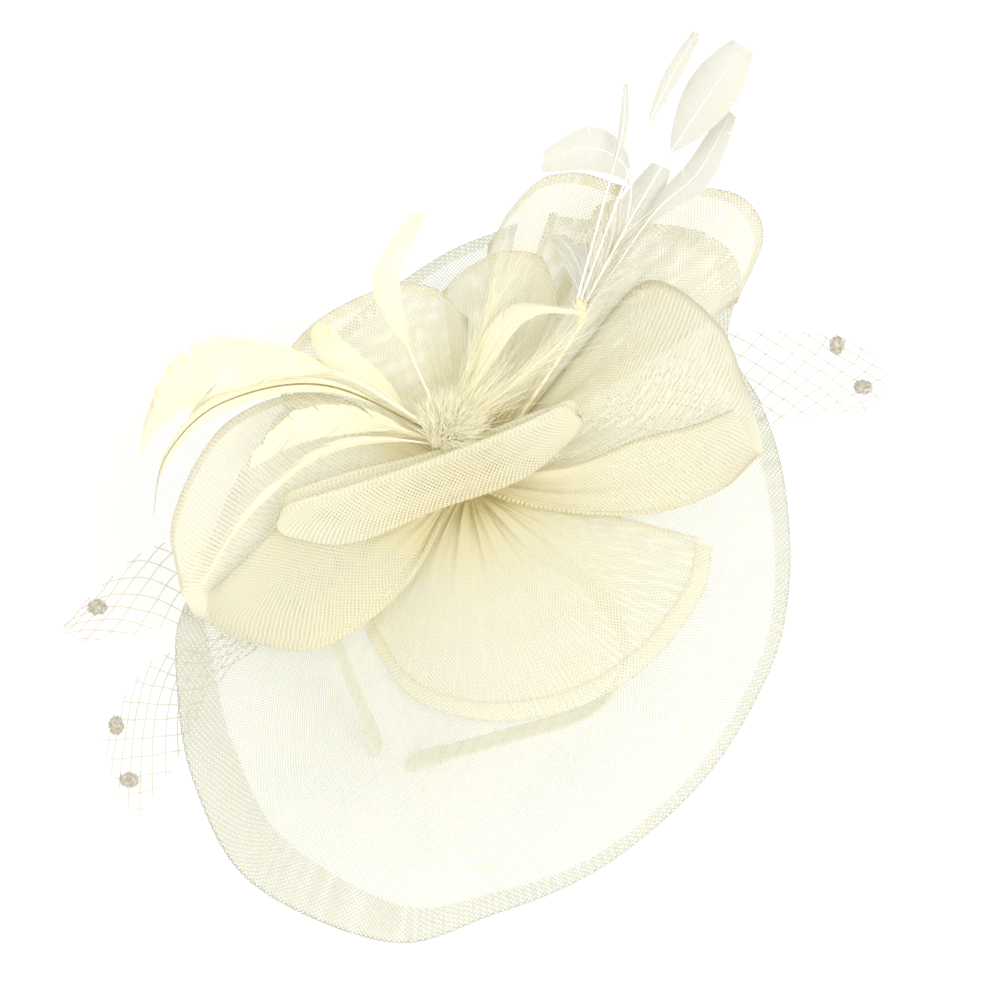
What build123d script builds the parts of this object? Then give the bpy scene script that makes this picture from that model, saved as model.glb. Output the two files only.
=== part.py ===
"""Fascinator headpiece: a sprung, ribbon-wrapped headband that carries a gathered mesh brim,
mesh petals and loops, feathers and dotted veiling.

Frame: millimetres. The origin is the centre of the headband's round arc, +Z goes up to the
crown, +X to the wearer's left and -Y to the wearer's face. The band lies in the XZ plane.
Soft pieces are laid out from the knot, as (right, back, out) in the flower's own frame.
"""
from build123d import *
import os
from math import cos, pi, radians, sin

os.makedirs("parts", exist_ok=True)

# ---- headband ----
BAND_R = 58.0          # inner face of the wrapped band, the surface that clips on the head
STEEL_T = 1.0          # sprung strip
STEEL_W = 7.2
RIBBON_T = 0.4         # satin wrapped round the strip
BAND_T = STEEL_T + 2 * RIBBON_T
BAND_W = STEEL_W + 2 * RIBBON_T
ARC_HALF = 125.0       # the round arc's reach each side of the crown, degrees
FLEX_AT = 65.0         # where each arm starts to flex, degrees from the crown
FLEX_GAP = 0.7         # room between the crown and an arm at the flexing line
ARM_L = 72.0           # straight run below the round arc
CAP_L = 15.0           # wound tip of each arm
CAP_T = 0.5            # the winding's thickness over the ribbon

# ---- base and knot ----
PAD_AT = -24.0         # the base pad's place on the arc, degrees from the crown
PAD_R = 26.0
PAD_T = 3.0
PAD_Y = 10.0
PAD_ROUND = 1.4        # the pad's rounded upper edge
GLUE_T = 0.5
GLUE_DEEP = 1.4        # how far the adhesive reaches down beside the curved band
GLUE_L = 20.0
KNOT = Vector(-28.5, 12.0, 64.5)                       # where all the mesh is gathered
OUT = Vector(-0.3817, -0.3014, 0.8739).normalized()    # the way the flower faces
RIGHT = Vector(0.878, 0.177, 0.443)
RIGHT = (RIGHT - OUT * RIGHT.dot(OUT)).normalized()
BACK = OUT.cross(RIGHT)
RIGHT = RIGHT - BACK * 0.049                           # the flower lies a little askew
CORE_R = 9.0           # the bound ends of the mesh
CORE_FOOT = -8.0
CORE_TOP = 17.0
CORE_ROUND = 1.5
STEM_R = 3.5           # the bound quills behind the core
STEM_FOOT = (-5.0, 7.0, 15.5)
STEM_TOP = (-5.0, 7.0, 31.0)
THREAD_T = 0.8
THREAD_AT = (-2.6, -1.7)
SPRAY_STEM = ((5.6, 2, 13.5), (26, 27, 19.5), (46, 60, 22))
SPRAY_WIRE_R = 1.0
SPRAY_BEND = 25.0
SPRAY_BIND_R = 3.2     # the thread that binds the spray's quills to its wire
SPRAY_BIND = ((45, 61, 21), (46, 63, 34.5))
PUFF = (-8.0, 11.0, 32.0)      # the marabou puff over the quills' bound ends
PUFF_R = 9.0
PUFF_H = 7.0
PUFF_TAPER = 25.0
PUFF_ROUND = 2.5

# ---- soft goods ----
MESH_T = 0.8           # stiff open mesh, with the room that its weave takes up
HEM_T = 1.3
HEM_SHARE = 0.075      # the hem's share of the front petal's length
FEATHER_T = 0.6
SKIN_TOL = 0.01        # how closely a spline face follows its points
QUILL_HALF = 0.8
VANE_END = 0.875       # the share of a half wave in a vane's outline: under 1 leaves a blunt tip
NET_T = 0.6
DOT_R = 3.4


def highest_edges(builder, way):
    """The builder's edges that are furthest along a direction."""
    return builder.edges().group_by(lambda edge: edge.center().dot(way))[-1]


def place(u, v, w):
    """A point given to the flower's right, back and out of its knot."""
    return KNOT + RIGHT * u + BACK * v + OUT * w


def curve(points, t):
    """A smooth curve through the points, at t from 0 to 1 (Catmull-Rom)."""
    spans = len(points) - 1
    i = min(int(t * spans), spans - 1)
    f = t * spans - i
    a, b = Vector(*points[i]), Vector(*points[i + 1])
    before = Vector(*points[i - 1]) if i else a * 2 - b
    after = Vector(*points[i + 2]) if i + 2 <= spans else b * 2 - a
    return (
        a * 2
        + (b - before) * f
        + (before * 2 - a * 5 + b * 4 - after) * f**2
        + (a * 3 - before - b * 3 + after) * f**3
    ) * 0.5


def steps(count, low=0.0, high=1.0):
    return [low + (high - low) * i / (count - 1) for i in range(count)]


def skin(rows):
    """A spline face through rows of points given in the flower's frame."""
    points = [[place(*p) for p in row] for row in rows]
    return Face.make_surface_from_array_of_points(points, tol=SKIN_TOL)


def finish(builder, name):
    builder.part.label = name
    export_step(builder.part, f"parts/{name}.step")


def sheet(name, rows, thickness=MESH_T):
    with BuildPart() as cloth:
        thicken(skin(rows), amount=thickness)
    finish(cloth, name)


def lifted(rows, amount):
    """The rows moved along the sheet's own normals, found from each point's neighbours."""
    last, end = len(rows) - 1, len(rows[0]) - 1
    moved = []
    for i, row in enumerate(rows):
        line = []
        for j, point in enumerate(row):
            along = Vector(*rows[min(i + 1, last)][j]) - Vector(*rows[max(i - 1, 0)][j])
            across = Vector(*row[min(j + 1, end)]) - Vector(*row[max(j - 1, 0)])
            p = Vector(*point) + along.cross(across).normalized() * amount
            line.append((p.X, p.Y, p.Z))
        moved.append(line)
    return moved


def edge_between(face, start, end):
    """The face's edge that joins two of its corners, whichever way it runs."""
    return min(face.edges(), key=lambda edge: min(
        (edge @ 0 - start).length + (edge @ 1 - end).length,
        (edge @ 0 - end).length + (edge @ 1 - start).length,
    ))


def wavy_sheet(name, rows, thickness=MESH_T):
    """A sheet with its own spline face on each side, for one that waves or folds a lot."""
    layers = (rows, lifted(rows, thickness))
    skins = [skin(layer) for layer in layers]
    corners = ((0, 0), (0, -1), (-1, -1), (-1, 0), (0, 0))
    walls = []
    for (i, j), (k, m) in zip(corners[:-1], corners[1:]):
        walls.append(Face.make_surface_from_curves(*(
            edge_between(face, place(*layer[i][j]), place(*layer[k][m]))
            for face, layer in zip(skins, layers)
        )))
    with BuildPart() as cloth:
        add(Solid(Shell(Face.sew_faces(skins + walls)[0])))
    finish(cloth, name)


def petal_rows(rim, turns, foot_w, rise, crown=0.55, start=0.0, end=1.0, rows=9, cols=11):
    """One open layer: from an arc on the core, between two bearings, out to the rim.

    It rises between the two; crown is the share of the rise that its sides don't have."""
    grid = []
    for s in steps(rows, start, end):
        line = []
        for t in steps(cols):
            bearing = radians(turns[0] + (turns[1] - turns[0]) * t)
            foot = Vector((CORE_R - 1) * cos(bearing), (CORE_R - 1) * sin(bearing), foot_w)
            p = foot + (curve(rim, t) - foot) * s
            line.append((p.X, p.Y, p.Z + rise * sin(pi * s) * (1 - crown + crown * sin(pi * t))))
        grid.append(line)
    return grid


def pocket_rows(front, fold, back, rows=9, cols=5, opening=0.0):
    """A folded ribbon: from its front edge down round the fold and up to its back edge.

    The opening holds the two layers apart at mid length, the front one more than the back."""
    grid = []
    for s in steps(rows):
        a, b, c = curve(front, s), curve(fold, s), curve(back, s)
        line = []
        for t in steps(cols):
            p = a * ((1 - t) * (1 - 2 * t)) + b * (4 * t * (1 - t)) + c * (t * (2 * t - 1))
            apart = opening * sin(pi * s) * sin(2 * pi * t) * (0.7 + 0.3 * cos(pi * t))
            line.append((p.X, p.Y, p.Z + apart))
        grid.append(line)
    return grid


# ================= headband =================
def band_profile(inner, outer, low, high):
    """A sector of the round arc in the XZ plane, between two angles from the crown."""
    with BuildLine() as line:
        near = [(r * sin(radians(low)), r * cos(radians(low))) for r in (inner, outer)]
        far = [(r * sin(radians(high)), r * cos(radians(high))) for r in (inner, outer)]
        middle = radians((low + high) / 2)
        ThreePointArc(near[0], (inner * sin(middle), inner * cos(middle)), far[0])
        Line(far[0], far[1])
        ThreePointArc(far[1], (outer * sin(middle), outer * cos(middle)), near[1])
        Line(near[1], near[0])
    return line


def arm_profile(side, inner, outer, low, run):
    """One arm: the rest of the arc from angle low, then a straight run of the given length."""
    a, b, m = radians(low), radians(ARC_HALF), radians((low + ARC_HALF) / 2)
    down = (cos(b) * run, -sin(b) * run)
    start, middle, turn, tip = [], [], [], []
    for r in (inner, outer):
        start.append((side * r * sin(a), r * cos(a)))
        middle.append((side * r * sin(m), r * cos(m)))
        turn.append((side * r * sin(b), r * cos(b)))
        tip.append((side * (r * sin(b) + down[0]), r * cos(b) + down[1]))
    with BuildLine() as line:
        ThreePointArc(start[0], middle[0], turn[0])
        Line(turn[0], tip[0])
        Line(tip[0], tip[1])
        Line(tip[1], turn[1])
        ThreePointArc(turn[1], middle[1], start[1])
        Line(start[1], start[0])
    return line


# Plane.XZ faces -Y, so an extrusion both ways is centred on the band's own plane.
BAND_OUT = BAND_R + BAND_T
STEEL_IN = BAND_R + RIBBON_T
STEEL_OUT = STEEL_IN + STEEL_T
HALF_GAP = FLEX_GAP / 2 / BAND_R * 180 / pi
CROWN_END = FLEX_AT - HALF_GAP
ARM_START = FLEX_AT + HALF_GAP
HEM_END = 1.0          # the ribbon is turned in this far past the steel, at each free end

with BuildPart() as steel_crown:
    with BuildSketch(Plane.XZ):
        with BuildLine():
            add(band_profile(STEEL_IN, STEEL_OUT, -CROWN_END, CROWN_END).line)
        make_face()
    extrude(amount=STEEL_W / 2, both=True)
finish(steel_crown, "band_steel_crown")

with BuildPart() as ribbon_crown:
    with BuildSketch(Plane.XZ):
        with BuildLine():
            add(band_profile(BAND_R, BAND_OUT, -CROWN_END, CROWN_END).line)
        make_face()
    extrude(amount=BAND_W / 2, both=True)
    add(steel_crown.part, mode=Mode.SUBTRACT)
finish(ribbon_crown, "band_ribbon_crown")

for side, word in ((-1, "left"), (1, "right")):
    with BuildPart() as steel_arm:
        with BuildSketch(Plane.XZ):
            with BuildLine():
                add(arm_profile(side, STEEL_IN, STEEL_OUT, ARM_START, ARM_L - HEM_END).line)
            make_face()
        extrude(amount=STEEL_W / 2, both=True)
    finish(steel_arm, f"band_steel_{word}")

    with BuildPart() as ribbon_arm:
        with BuildSketch(Plane.XZ):
            with BuildLine():
                add(arm_profile(side, BAND_R, BAND_OUT, ARM_START, ARM_L).line)
            make_face()
        extrude(amount=BAND_W / 2, both=True)
        add(steel_arm.part, mode=Mode.SUBTRACT)
    finish(ribbon_arm, f"band_ribbon_{word}")

    # the winding that closes the tip: a sleeve over the last of the straight run
    b = radians(ARC_HALF)
    along = Vector(side * cos(b), 0, -sin(b))
    outward = Vector(side * sin(b), 0, cos(b))
    tip = outward * (BAND_R + BAND_T / 2) + along * ARM_L
    sleeve_plane = Plane(origin=tip, x_dir=outward, z_dir=along)
    with BuildPart() as cap:
        with BuildSketch(sleeve_plane.offset(-CAP_L)):
            RectangleRounded(BAND_T + 2 * CAP_T, BAND_W + 2 * CAP_T, 1.2)
        extrude(amount=CAP_L + CAP_T)
        with BuildSketch(sleeve_plane.offset(-CAP_L)):
            Rectangle(BAND_T, BAND_W)
        extrude(amount=CAP_L, mode=Mode.SUBTRACT)
    finish(cap, f"end_cap_{word}")

# ================= base =================
pad_out = Vector(sin(radians(PAD_AT)), 0, cos(radians(PAD_AT)))
pad_plane = Plane(
    origin=pad_out * (BAND_OUT + GLUE_T) + Vector(0, PAD_Y, 0), x_dir=(0, 1, 0), z_dir=pad_out
)
with BuildPart() as pad:
    with BuildSketch(pad_plane):
        Circle(PAD_R)
    extrude(amount=PAD_T)
    fillet(highest_edges(pad, pad_out), PAD_ROUND)
finish(pad, "base_pad")

# the adhesive fills the wedge between the curved band and the flat pad
with BuildPart() as glue:
    with BuildSketch(pad_plane.offset(-GLUE_T - GLUE_DEEP)):
        with Locations((-PAD_Y, 0)):
            Rectangle(BAND_W + 4, GLUE_L)
    extrude(amount=GLUE_T + GLUE_DEEP)
    with BuildSketch(Plane.XZ):
        Circle(BAND_OUT)
    extrude(amount=PAD_R, both=True, mode=Mode.SUBTRACT)
finish(glue, "band_glue")

knot_plane = Plane(origin=KNOT, x_dir=RIGHT, z_dir=OUT)
with BuildPart() as core:
    with BuildSketch(knot_plane.offset(CORE_FOOT)):
        Circle(CORE_R)
    extrude(amount=CORE_TOP - CORE_FOOT)
    fillet(highest_edges(core, OUT), CORE_ROUND)
finish(core, "gathered_core")

with BuildPart() as thread:
    for height in THREAD_AT:
        with BuildSketch(knot_plane.offset(height - THREAD_T / 2)):
            Circle(CORE_R + THREAD_T)
            Circle(CORE_R, mode=Mode.SUBTRACT)
        extrude(amount=THREAD_T)
finish(thread, "binding_thread")

stem_foot, stem_top = place(*STEM_FOOT), place(*STEM_TOP)
with BuildPart() as stem:
    with BuildSketch(Plane(origin=stem_foot, z_dir=stem_top - stem_foot)):
        Circle(STEM_R)
    extrude(amount=(stem_top - stem_foot).length)
finish(stem, "quill_binding")


# ================= brim =================
BRIM_RIM = (
    (18, 112, -3), (-14, 96, -3), (-44, 75, -4), (-72, 36, -4), (-94, -2, -4), (-110, -44, -5),
    (-114, -72, -6), (-107, -119, -7), (-84, -160, -8), (-32, -183, -9), (8, -172, -8),
    (52, -152, -7), (90, -116, -6), (114, -74, -5), (122, -40, -4), (121, 2, -4),
    (112, 36, -4), (99, 62, -4), (104, 92, -3), (88, 108, -3), (56, 112, -3), (30, 116, -3),
)
BRIM_TURNS = (80.0, 437.0)     # the strip's two ends almost meet at the back
wavy_sheet("brim_mesh", petal_rows(BRIM_RIM, BRIM_TURNS, 3.0, 4.5, crown=0, rows=7, cols=73))

# ================= petals and loops =================
FRONT_RIM = (
    (-40, -60, 5), (-22, -89, 9), (9, -100, 11), (44, -94, 11), (71, -75, 10), (90, -47, 9),
    (94, -25, 7),
)
FRONT = dict(turns=(236.0, 345.0), foot_w=7.0, rise=11.0, crown=0.8)
sheet("front_petal", petal_rows(FRONT_RIM, end=1 - HEM_SHARE, **FRONT))
sheet("front_petal_hem", petal_rows(FRONT_RIM, start=1.004 - HEM_SHARE, rows=4, **FRONT), HEM_T)
wavy_sheet(
    "left_pocket",
    pocket_rows(
        front=((-8, -4, 14.5), (-51.4, -9, 21), (-66.4, -20, 22), (-86.5, -40.6, 21.5),
               (-97, -49.5, 17.5)),
        fold=((-6.5, -9, 11), (-24, -46, 14), (-56, -69, 10), (-86, -66, 8), (-103, -57, 9)),
        back=((-8, 5, 16.5), (-52, 30, 21), (-90, 17, 26), (-111, -22, 26), (-109, -49, 20.5)),
        cols=7,
        opening=4.5,
    ),
)
sheet(
    "right_pocket",
    pocket_rows(
        front=((8, -1, 15), (41, 0, 22), (68, 9, 28), (90, 15, 28), (104, 22, 26)),
        fold=((6, -6, 12), (40, -11, 14), (72, -11, 12), (98, -5, 12), (114, 8, 14)),
        back=((6, 7, 8), (44, 52, 15), (71, 77, 22), (98, 58, 26), (109, 32, 26)),
    ),
)
sheet(
    "boat_loop",
    pocket_rows(
        front=((43, 21, 37), (20, 9, 38), (-12, -4, 38), (-45, -14, 35), (-69, -20, 32)),
        fold=((47, 14, 26), (24, -5, 23), (-10, -18, 22), (-44, -32, 22), (-72, -30, 26)),
        back=((45, 26, 30), (24, 17, 31), (-10, 4, 29), (-44, -5, 29), (-70, -14, 28)),
    ),
)
sheet(
    "upper_left_petal",
    petal_rows(
        ((-69, 26, 14), (-72, 40, 18), (-58, 58, 24), (-32, 71, 28), (-12, 72, 28), (2, 60, 24)),
        turns=(158.0, 112.0), foot_w=13.0, rise=-3.0,
    ),
)
sheet(
    "top_petal",
    petal_rows(
        ((-9, 76, 14), (1, 85, 17), (17, 89, 22), (31, 84, 27), (37, 64, 30), (37, 46, 31)),
        turns=(100.0, 56.0), foot_w=10.5, rise=-2.0,
    ),
)
sheet(
    "back_left_lobe",
    petal_rows(
        ((8, 98, 9), (22, 117, 13), (40, 125, 16), (62, 119, 15)),
        turns=(90.0, 72.0), foot_w=6.0, rise=1.0,
    ),
)
sheet(
    "back_right_lobe",
    petal_rows(
        ((50, 115, 7), (84, 120, 13), (106, 115, 15), (115, 98, 15), (104, 72, 12)),
        turns=(66.0, 36.0), foot_w=6.0, rise=1.0,
    ),
)


# ================= feathers =================
def feather(name, spine, across, width, bare=0.0):
    """A thin blade along its spine: bare quill first, then the vane, widest past its middle."""
    side = Vector(*across)
    grid = []
    for s in steps(9):
        p = curve(spine, s)
        blade = max(0.0, (s - bare) / (1 - bare))
        half = QUILL_HALF + (width / 2 - QUILL_HALF) * sin(pi * blade * VANE_END)
        line = []
        for t in steps(3, -1, 1):
            q = p + side * (half * t) + Vector(0, 0, -0.12 * half * t * t)
            line.append((q.X, q.Y, q.Z))
        grid.append(line)
    sheet(name, grid, FEATHER_T)


ARCHING = (
    (((-5, 8, 30), (-46, 29, 46), (-87, 31, 50), (-111, 22, 44), (-122, 6, 36)), 26, 0.25),
    (((-5, 8, 28.2), (-50, 25, 42), (-90, 18, 42), (-113, 0, 32), (-120, -20, 18)), 9, 0.1),
    (((-5, 8, 26.4), (-42, 30, 36), (-70, 31, 41), (-96, 21, 39), (-109, 5, 31)), 8, 0.2),
    (((-5, 8, 24.6), (-36, 14, 34), (-62, 10, 37), (-80, -2, 34)), 14, 0.15),
    (((-5, 8, 22.6), (-32, 7, 32), (-56, 0, 33), (-82, -24, 32), (-101, -52, 26)), 5, 0.1),
)
for number, (spine, width, bare) in enumerate(ARCHING, 1):
    feather(f"arching_feather_{number}", spine, (0.15, 0.95, 0.25), width, bare)
UPRIGHT = ((-5, 9, 32), (-17, 36, 48), (-24, 58, 68), (-10, 80, 82))
CURL_LEFT = ((-5, 8, 20.8), (-30, 28, 29), (-48, 42, 35), (-56, 52, 35))
CURL_RIGHT = ((-4, 8, 19), (8, 36, 34), (24, 56, 41), (46, 56, 42))
feather("upright_feather", UPRIGHT, (0.95, 0.1, 0.2), 12, 0.35)
feather("curl_feather_left", CURL_LEFT, (0.5, 0.85, 0.1), 13, 0.1)
feather("curl_feather_right", CURL_RIGHT, (0.8, -0.5, 0.1), 16, 0.1)

spray_path = [place(*p) for p in SPRAY_STEM]
with BuildPart() as spray_wire:
    with BuildLine():
        FilletPolyline(*spray_path, radius=SPRAY_BEND)
    with BuildSketch(Plane(origin=spray_path[0], z_dir=spray_path[1] - spray_path[0])):
        Circle(SPRAY_WIRE_R)
    sweep()
finish(spray_wire, "spray_wire")
bind_low, bind_high = (place(*p) for p in SPRAY_BIND)
with BuildPart() as spray_binding:
    with BuildSketch(Plane(origin=bind_low, z_dir=bind_high - bind_low)):
        Circle(SPRAY_BIND_R)
    extrude(amount=(bind_high - bind_low).length)
finish(spray_binding, "spray_binding")

SPRAY = (
    (((46, 62, 28), (64, 92, 38), (66, 112, 48), (52, 119, 53), (34, 114, 52)), (0.2, 0.9, 0.4), 15, 0.4),
    (((47, 63, 29.5), (72, 101, 46), (94, 130, 60), (113, 154, 70)), (0.8, -0.6, 0.1), 21, 0.5),
    (((48, 62, 27), (74, 97, 37), (93, 112, 45), (107, 133, 55)), (0.6, -0.8, 0.1), 11, 0.35),
    (((46, 64, 31.5), (68, 110, 54), (82, 136, 66), (96, 158, 74)), (0.8, -0.5, 0.1), 7, 0.5),
    (((45, 64, 33), (60, 104, 54), (66, 122, 62), (68, 139, 68)), (0.9, -0.2, 0.1), 4, 0.5),
    (((47, 61, 25), (58, 84, 31), (66, 98, 33), (78, 118, 38)), (0.9, -0.4, 0.1), 17, 0.1),
    (((44, 62, 24), (46, 76, 24), (42, 88, 24), (36, 96, 22)), (0.9, 0.1, 0.1), 12, 0.1),
)
for number, (spine, across, width, bare) in enumerate(SPRAY, 1):
    feather(f"spray_feather_{number}", spine, across, width, bare)

# the marabou puff that hides the quills: a small crowned cushion over their bound ends
with BuildPart() as puff:
    with BuildSketch(Plane(origin=place(*PUFF), x_dir=RIGHT, z_dir=OUT)):
        Circle(PUFF_R)
    extrude(amount=PUFF_H, taper=PUFF_TAPER)
    fillet(highest_edges(puff, OUT), PUFF_ROUND)
finish(puff, "marabou_puff")


# ================= veiling =================
# Each net is gathered under the brim, from the core out, and fans past the brim's edge.
sheet(
    "veil_left_upper",
    pocket_rows(
        front=((-6, 1, 1), (-50, -4, 0), (-90, -18, -6), (-124, -24, -2), (-157, -55, -3)),
        fold=((-6, -0.5, 1), (-50, -10, 0), (-90, -30, -7), (-122, -38, -4), (-156, -58, -4)),
        back=((-6, -2, 1), (-50, -16, 0), (-90, -44, -8), (-116, -54, -7), (-150, -62, -5)),
    ),
    NET_T,
)
sheet(
    "veil_left_lower",
    pocket_rows(
        front=((-5, -3.4, 1), (-50, -24, 0), (-98, -54, -12), (-126, -68, -14), (-143, -96, -15)),
        fold=((-4.4, -4.1, 1), (-48, -30, 0), (-98, -64, -13), (-122, -86, -15), (-139, -114, -16)),
        back=((-3.6, -4.8, 1), (-46, -36, 0), (-98, -74, -14), (-112, -100, -17), (-130, -130, -17)),
    ),
    NET_T,
)
sheet(
    "veil_right",
    pocket_rows(
        front=((5, 3.4, 1), (50, 36, -1), (90, 66, -10), (124, 67, -5), (148, 62, 0)),
        fold=((5.5, 2.4, 1), (52, 26, -1), (94, 46, -10), (128, 49, -6), (160, 46, -1)),
        back=((5.9, 1.3, 1), (54, 16, -1), (96, 28, -11), (126, 32, -7), (152, 33, -4)),
    ),
    NET_T,
)
DOTS = {
    "veil_dot_left": ((-144, -48, -3), (-138, -92, -15), (-133, -114, -16)),
    "veil_dot_right": ((141, 60, -2), (151, 43, -3)),
}
for name, centres in DOTS.items():
    for number, centre in enumerate(centres, 1):
        with BuildPart() as dot:
            with Locations(place(*centre)):
                Sphere(DOT_R)
        finish(dot, f"{name}_{number}")
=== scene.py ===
"""Looks of the fascinator headpiece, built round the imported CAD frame.

Everything is in the frame's own axes. Soft pieces are laid out in millimetres from the knot, as
(right, back, out) in the flower's own frame, and turned into metres by place().
"""

import bpy
import numpy as np
from mathutils import Matrix, Vector


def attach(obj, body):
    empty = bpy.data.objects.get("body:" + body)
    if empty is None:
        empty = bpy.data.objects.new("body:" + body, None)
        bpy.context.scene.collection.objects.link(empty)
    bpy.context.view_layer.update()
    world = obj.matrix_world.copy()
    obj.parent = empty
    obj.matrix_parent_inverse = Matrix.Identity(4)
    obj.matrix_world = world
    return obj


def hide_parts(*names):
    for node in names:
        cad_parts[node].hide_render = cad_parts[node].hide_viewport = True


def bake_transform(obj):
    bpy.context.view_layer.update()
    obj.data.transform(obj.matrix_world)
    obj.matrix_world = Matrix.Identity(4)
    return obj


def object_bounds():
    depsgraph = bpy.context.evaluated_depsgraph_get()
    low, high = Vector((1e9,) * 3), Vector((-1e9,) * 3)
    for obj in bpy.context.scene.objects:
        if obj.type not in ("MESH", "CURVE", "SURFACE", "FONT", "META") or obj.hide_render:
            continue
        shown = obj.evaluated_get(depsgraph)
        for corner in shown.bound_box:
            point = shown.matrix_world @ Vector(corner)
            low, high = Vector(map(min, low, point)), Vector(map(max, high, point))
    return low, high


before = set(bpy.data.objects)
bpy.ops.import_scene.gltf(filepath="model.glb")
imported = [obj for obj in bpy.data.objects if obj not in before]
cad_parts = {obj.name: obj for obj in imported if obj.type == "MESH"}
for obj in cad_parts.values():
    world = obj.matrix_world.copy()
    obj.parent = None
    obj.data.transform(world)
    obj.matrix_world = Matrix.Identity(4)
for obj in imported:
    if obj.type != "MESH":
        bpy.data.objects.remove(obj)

CAD_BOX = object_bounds()
MM = 0.001


def unit(v):
    v = np.asarray(v, float)
    return v / np.linalg.norm(v)


# ---- the flower's own frame, and the driving sizes in millimetres ----
KNOT = np.array((-28.5, 12.0, 64.5))
OUT = unit((-0.3817, -0.3014, 0.8739))
RIGHT = np.array((0.878, 0.177, 0.443))
RIGHT = unit(RIGHT - OUT * (RIGHT @ OUT))
BACK = np.cross(OUT, RIGHT)
ASKEW = 0.049                                # the flower's rows lean this much
RIGHT = RIGHT - BACK * ASKEW
CORE_R, CORE_FOOT, CORE_TOP = 9.0, -8.0, 17.0
STEM_FOOT, STEM_TOP = (-5.0, 7.0, 15.5), (-5.0, 7.0, 31.0)
BAND_R, BAND_T, BAND_W = 58.0, 1.8, 8.0
ARC_HALF, FLEX_AT, ARM_L, CAP_L = 125.0, 65.0, 72.0, 15.0
PAD_AT, PAD_T, PAD_Y, GLUE_T = -24.0, 3.0, 10.0, 0.5
DOT_R = 3.4
HEM_SHARE = 0.075          # the hem's share of the front petal's length
VANE_END = 0.875           # the share of a half wave in a vane's outline


def place(p):
    """Points of the flower's own frame (..., 3), millimetres, as row-frame metres."""
    p = np.asarray(p, float)
    return (KNOT + p[..., :1] * RIGHT + p[..., 1:2] * BACK + p[..., 2:3] * OUT) * MM


# ================= camera, floor and light =================
VIEW_RIGHT = Vector((0.919, 0.212, 0.338)).normalized()
VIEW_UP = Vector((-0.373, 0.760, 0.535)).normalized()
VIEW_BACK = VIEW_RIGHT.cross(VIEW_UP).normalized()
AIM = Vector((-9.7, 39.7, 29.8)) * MM        # what the middle of the frame shows
FRAME_W = 0.3846                             # the width that the frame shows, at AIM
DISTANCE = 8.0
SENSOR = 36.0


def make_camera():
    data = bpy.data.cameras.new("camera")
    data.sensor_width = SENSOR
    data.lens = SENSOR * DISTANCE / FRAME_W
    data.clip_start, data.clip_end = 0.1, 80.0
    camera = bpy.data.objects.new("camera", data)
    bpy.context.scene.collection.objects.link(camera)
    up = VIEW_BACK.cross(VIEW_RIGHT)
    turn = Matrix((VIEW_RIGHT, up, VIEW_BACK)).transposed()
    camera.matrix_world = Matrix.Translation(AIM + VIEW_BACK * DISTANCE) @ turn.to_4x4()
    bpy.context.scene.camera = camera


def make_light(name, place_at, size, power):
    data = bpy.data.lights.new(name, "AREA")
    data.shape, data.size, data.energy = "DISK", size, power
    light = bpy.data.objects.new(name, data)
    bpy.context.scene.collection.objects.link(light)
    light.location = place_at
    light.rotation_mode = "QUATERNION"
    light.rotation_quaternion = (AIM - Vector(place_at)).to_track_quat("-Z", "Y")


make_camera()


# ================= materials =================
class Shade:
    """One node material, with short calls for the nodes that it is built from."""

    def __init__(self, name):
        self.mat = bpy.data.materials.new(name)
        self.mat.use_nodes = True
        self.tree = self.mat.node_tree
        self.tree.nodes.clear()

    def set(self, socket, value):
        if isinstance(value, bpy.types.NodeSocket):
            self.tree.links.new(value, socket)
        elif value is not None:
            if socket.type == "RGBA" and len(value) == 3:
                value = (*value, 1.0)
            socket.default_value = value

    def add(self, kind, values=(), **settings):
        node = self.tree.nodes.new("ShaderNode" + kind)
        for key, value in settings.items():
            setattr(node, key, value)
        for key, value in dict(values).items():
            self.set(node.inputs[key], value)
        return node

    def math(self, op, a, b=None, clamp=False):
        node = self.add("Math", {0: a, 1: b}, operation=op, use_clamp=clamp)
        return node.outputs[0]

    def mix(self, factor, a, b):
        node = self.add("Mix", {0: factor, 6: a, 7: b}, data_type="RGBA")
        return node.outputs[2]

    def value(self, name):
        return self.add("Attribute", attribute_name=name).outputs["Fac"]

    def uv(self):
        return self.add("UVMap", uv_map="UVMap").outputs[0]

    def at(self):
        return self.add("TexCoord").outputs["Object"]

    def noise(self, vector, scale, detail=2.0, roughness=0.5):
        values = {"Vector": vector, "Scale": scale, "Detail": detail, "Roughness": roughness}
        return self.add("TexNoise", values).outputs[0]

    def spread(self, x, low, high, to_low=0.0, to_high=1.0, smooth=False):
        values = {0: x, 1: low, 2: high, 3: to_low, 4: to_high}
        kind = "SMOOTHSTEP" if smooth else "LINEAR"
        return self.add("MapRange", values, interpolation_type=kind).outputs[0]

    def bump(self, height, depth, strength=1.0):
        values = {"Height": height, "Distance": depth, "Strength": strength}
        return self.add("Bump", values).outputs[0]

    def principled(self, **values):
        return self.add("BsdfPrincipled", {k.replace("_", " "): v for k, v in values.items()})

    def finish(self, shader, alpha=None, through=None, share=0.0):
        """Ends the material; through is the colour that light takes through thin stuff."""
        surface = shader.outputs[0]
        if share:
            thin = self.add("BsdfTranslucent", {"Color": through})
            surface = self.add(
                "MixShader", {0: share, 1: surface, 2: thin.outputs[0]}
            ).outputs[0]
        if alpha is not None:
            clear = self.add("BsdfTransparent")
            surface = self.add(
                "MixShader", {0: alpha, 1: clear.outputs[0], 2: surface}
            ).outputs[0]
        end = self.add("OutputMaterial")
        self.tree.links.new(surface, end.inputs["Surface"])
        return self.mat


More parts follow.
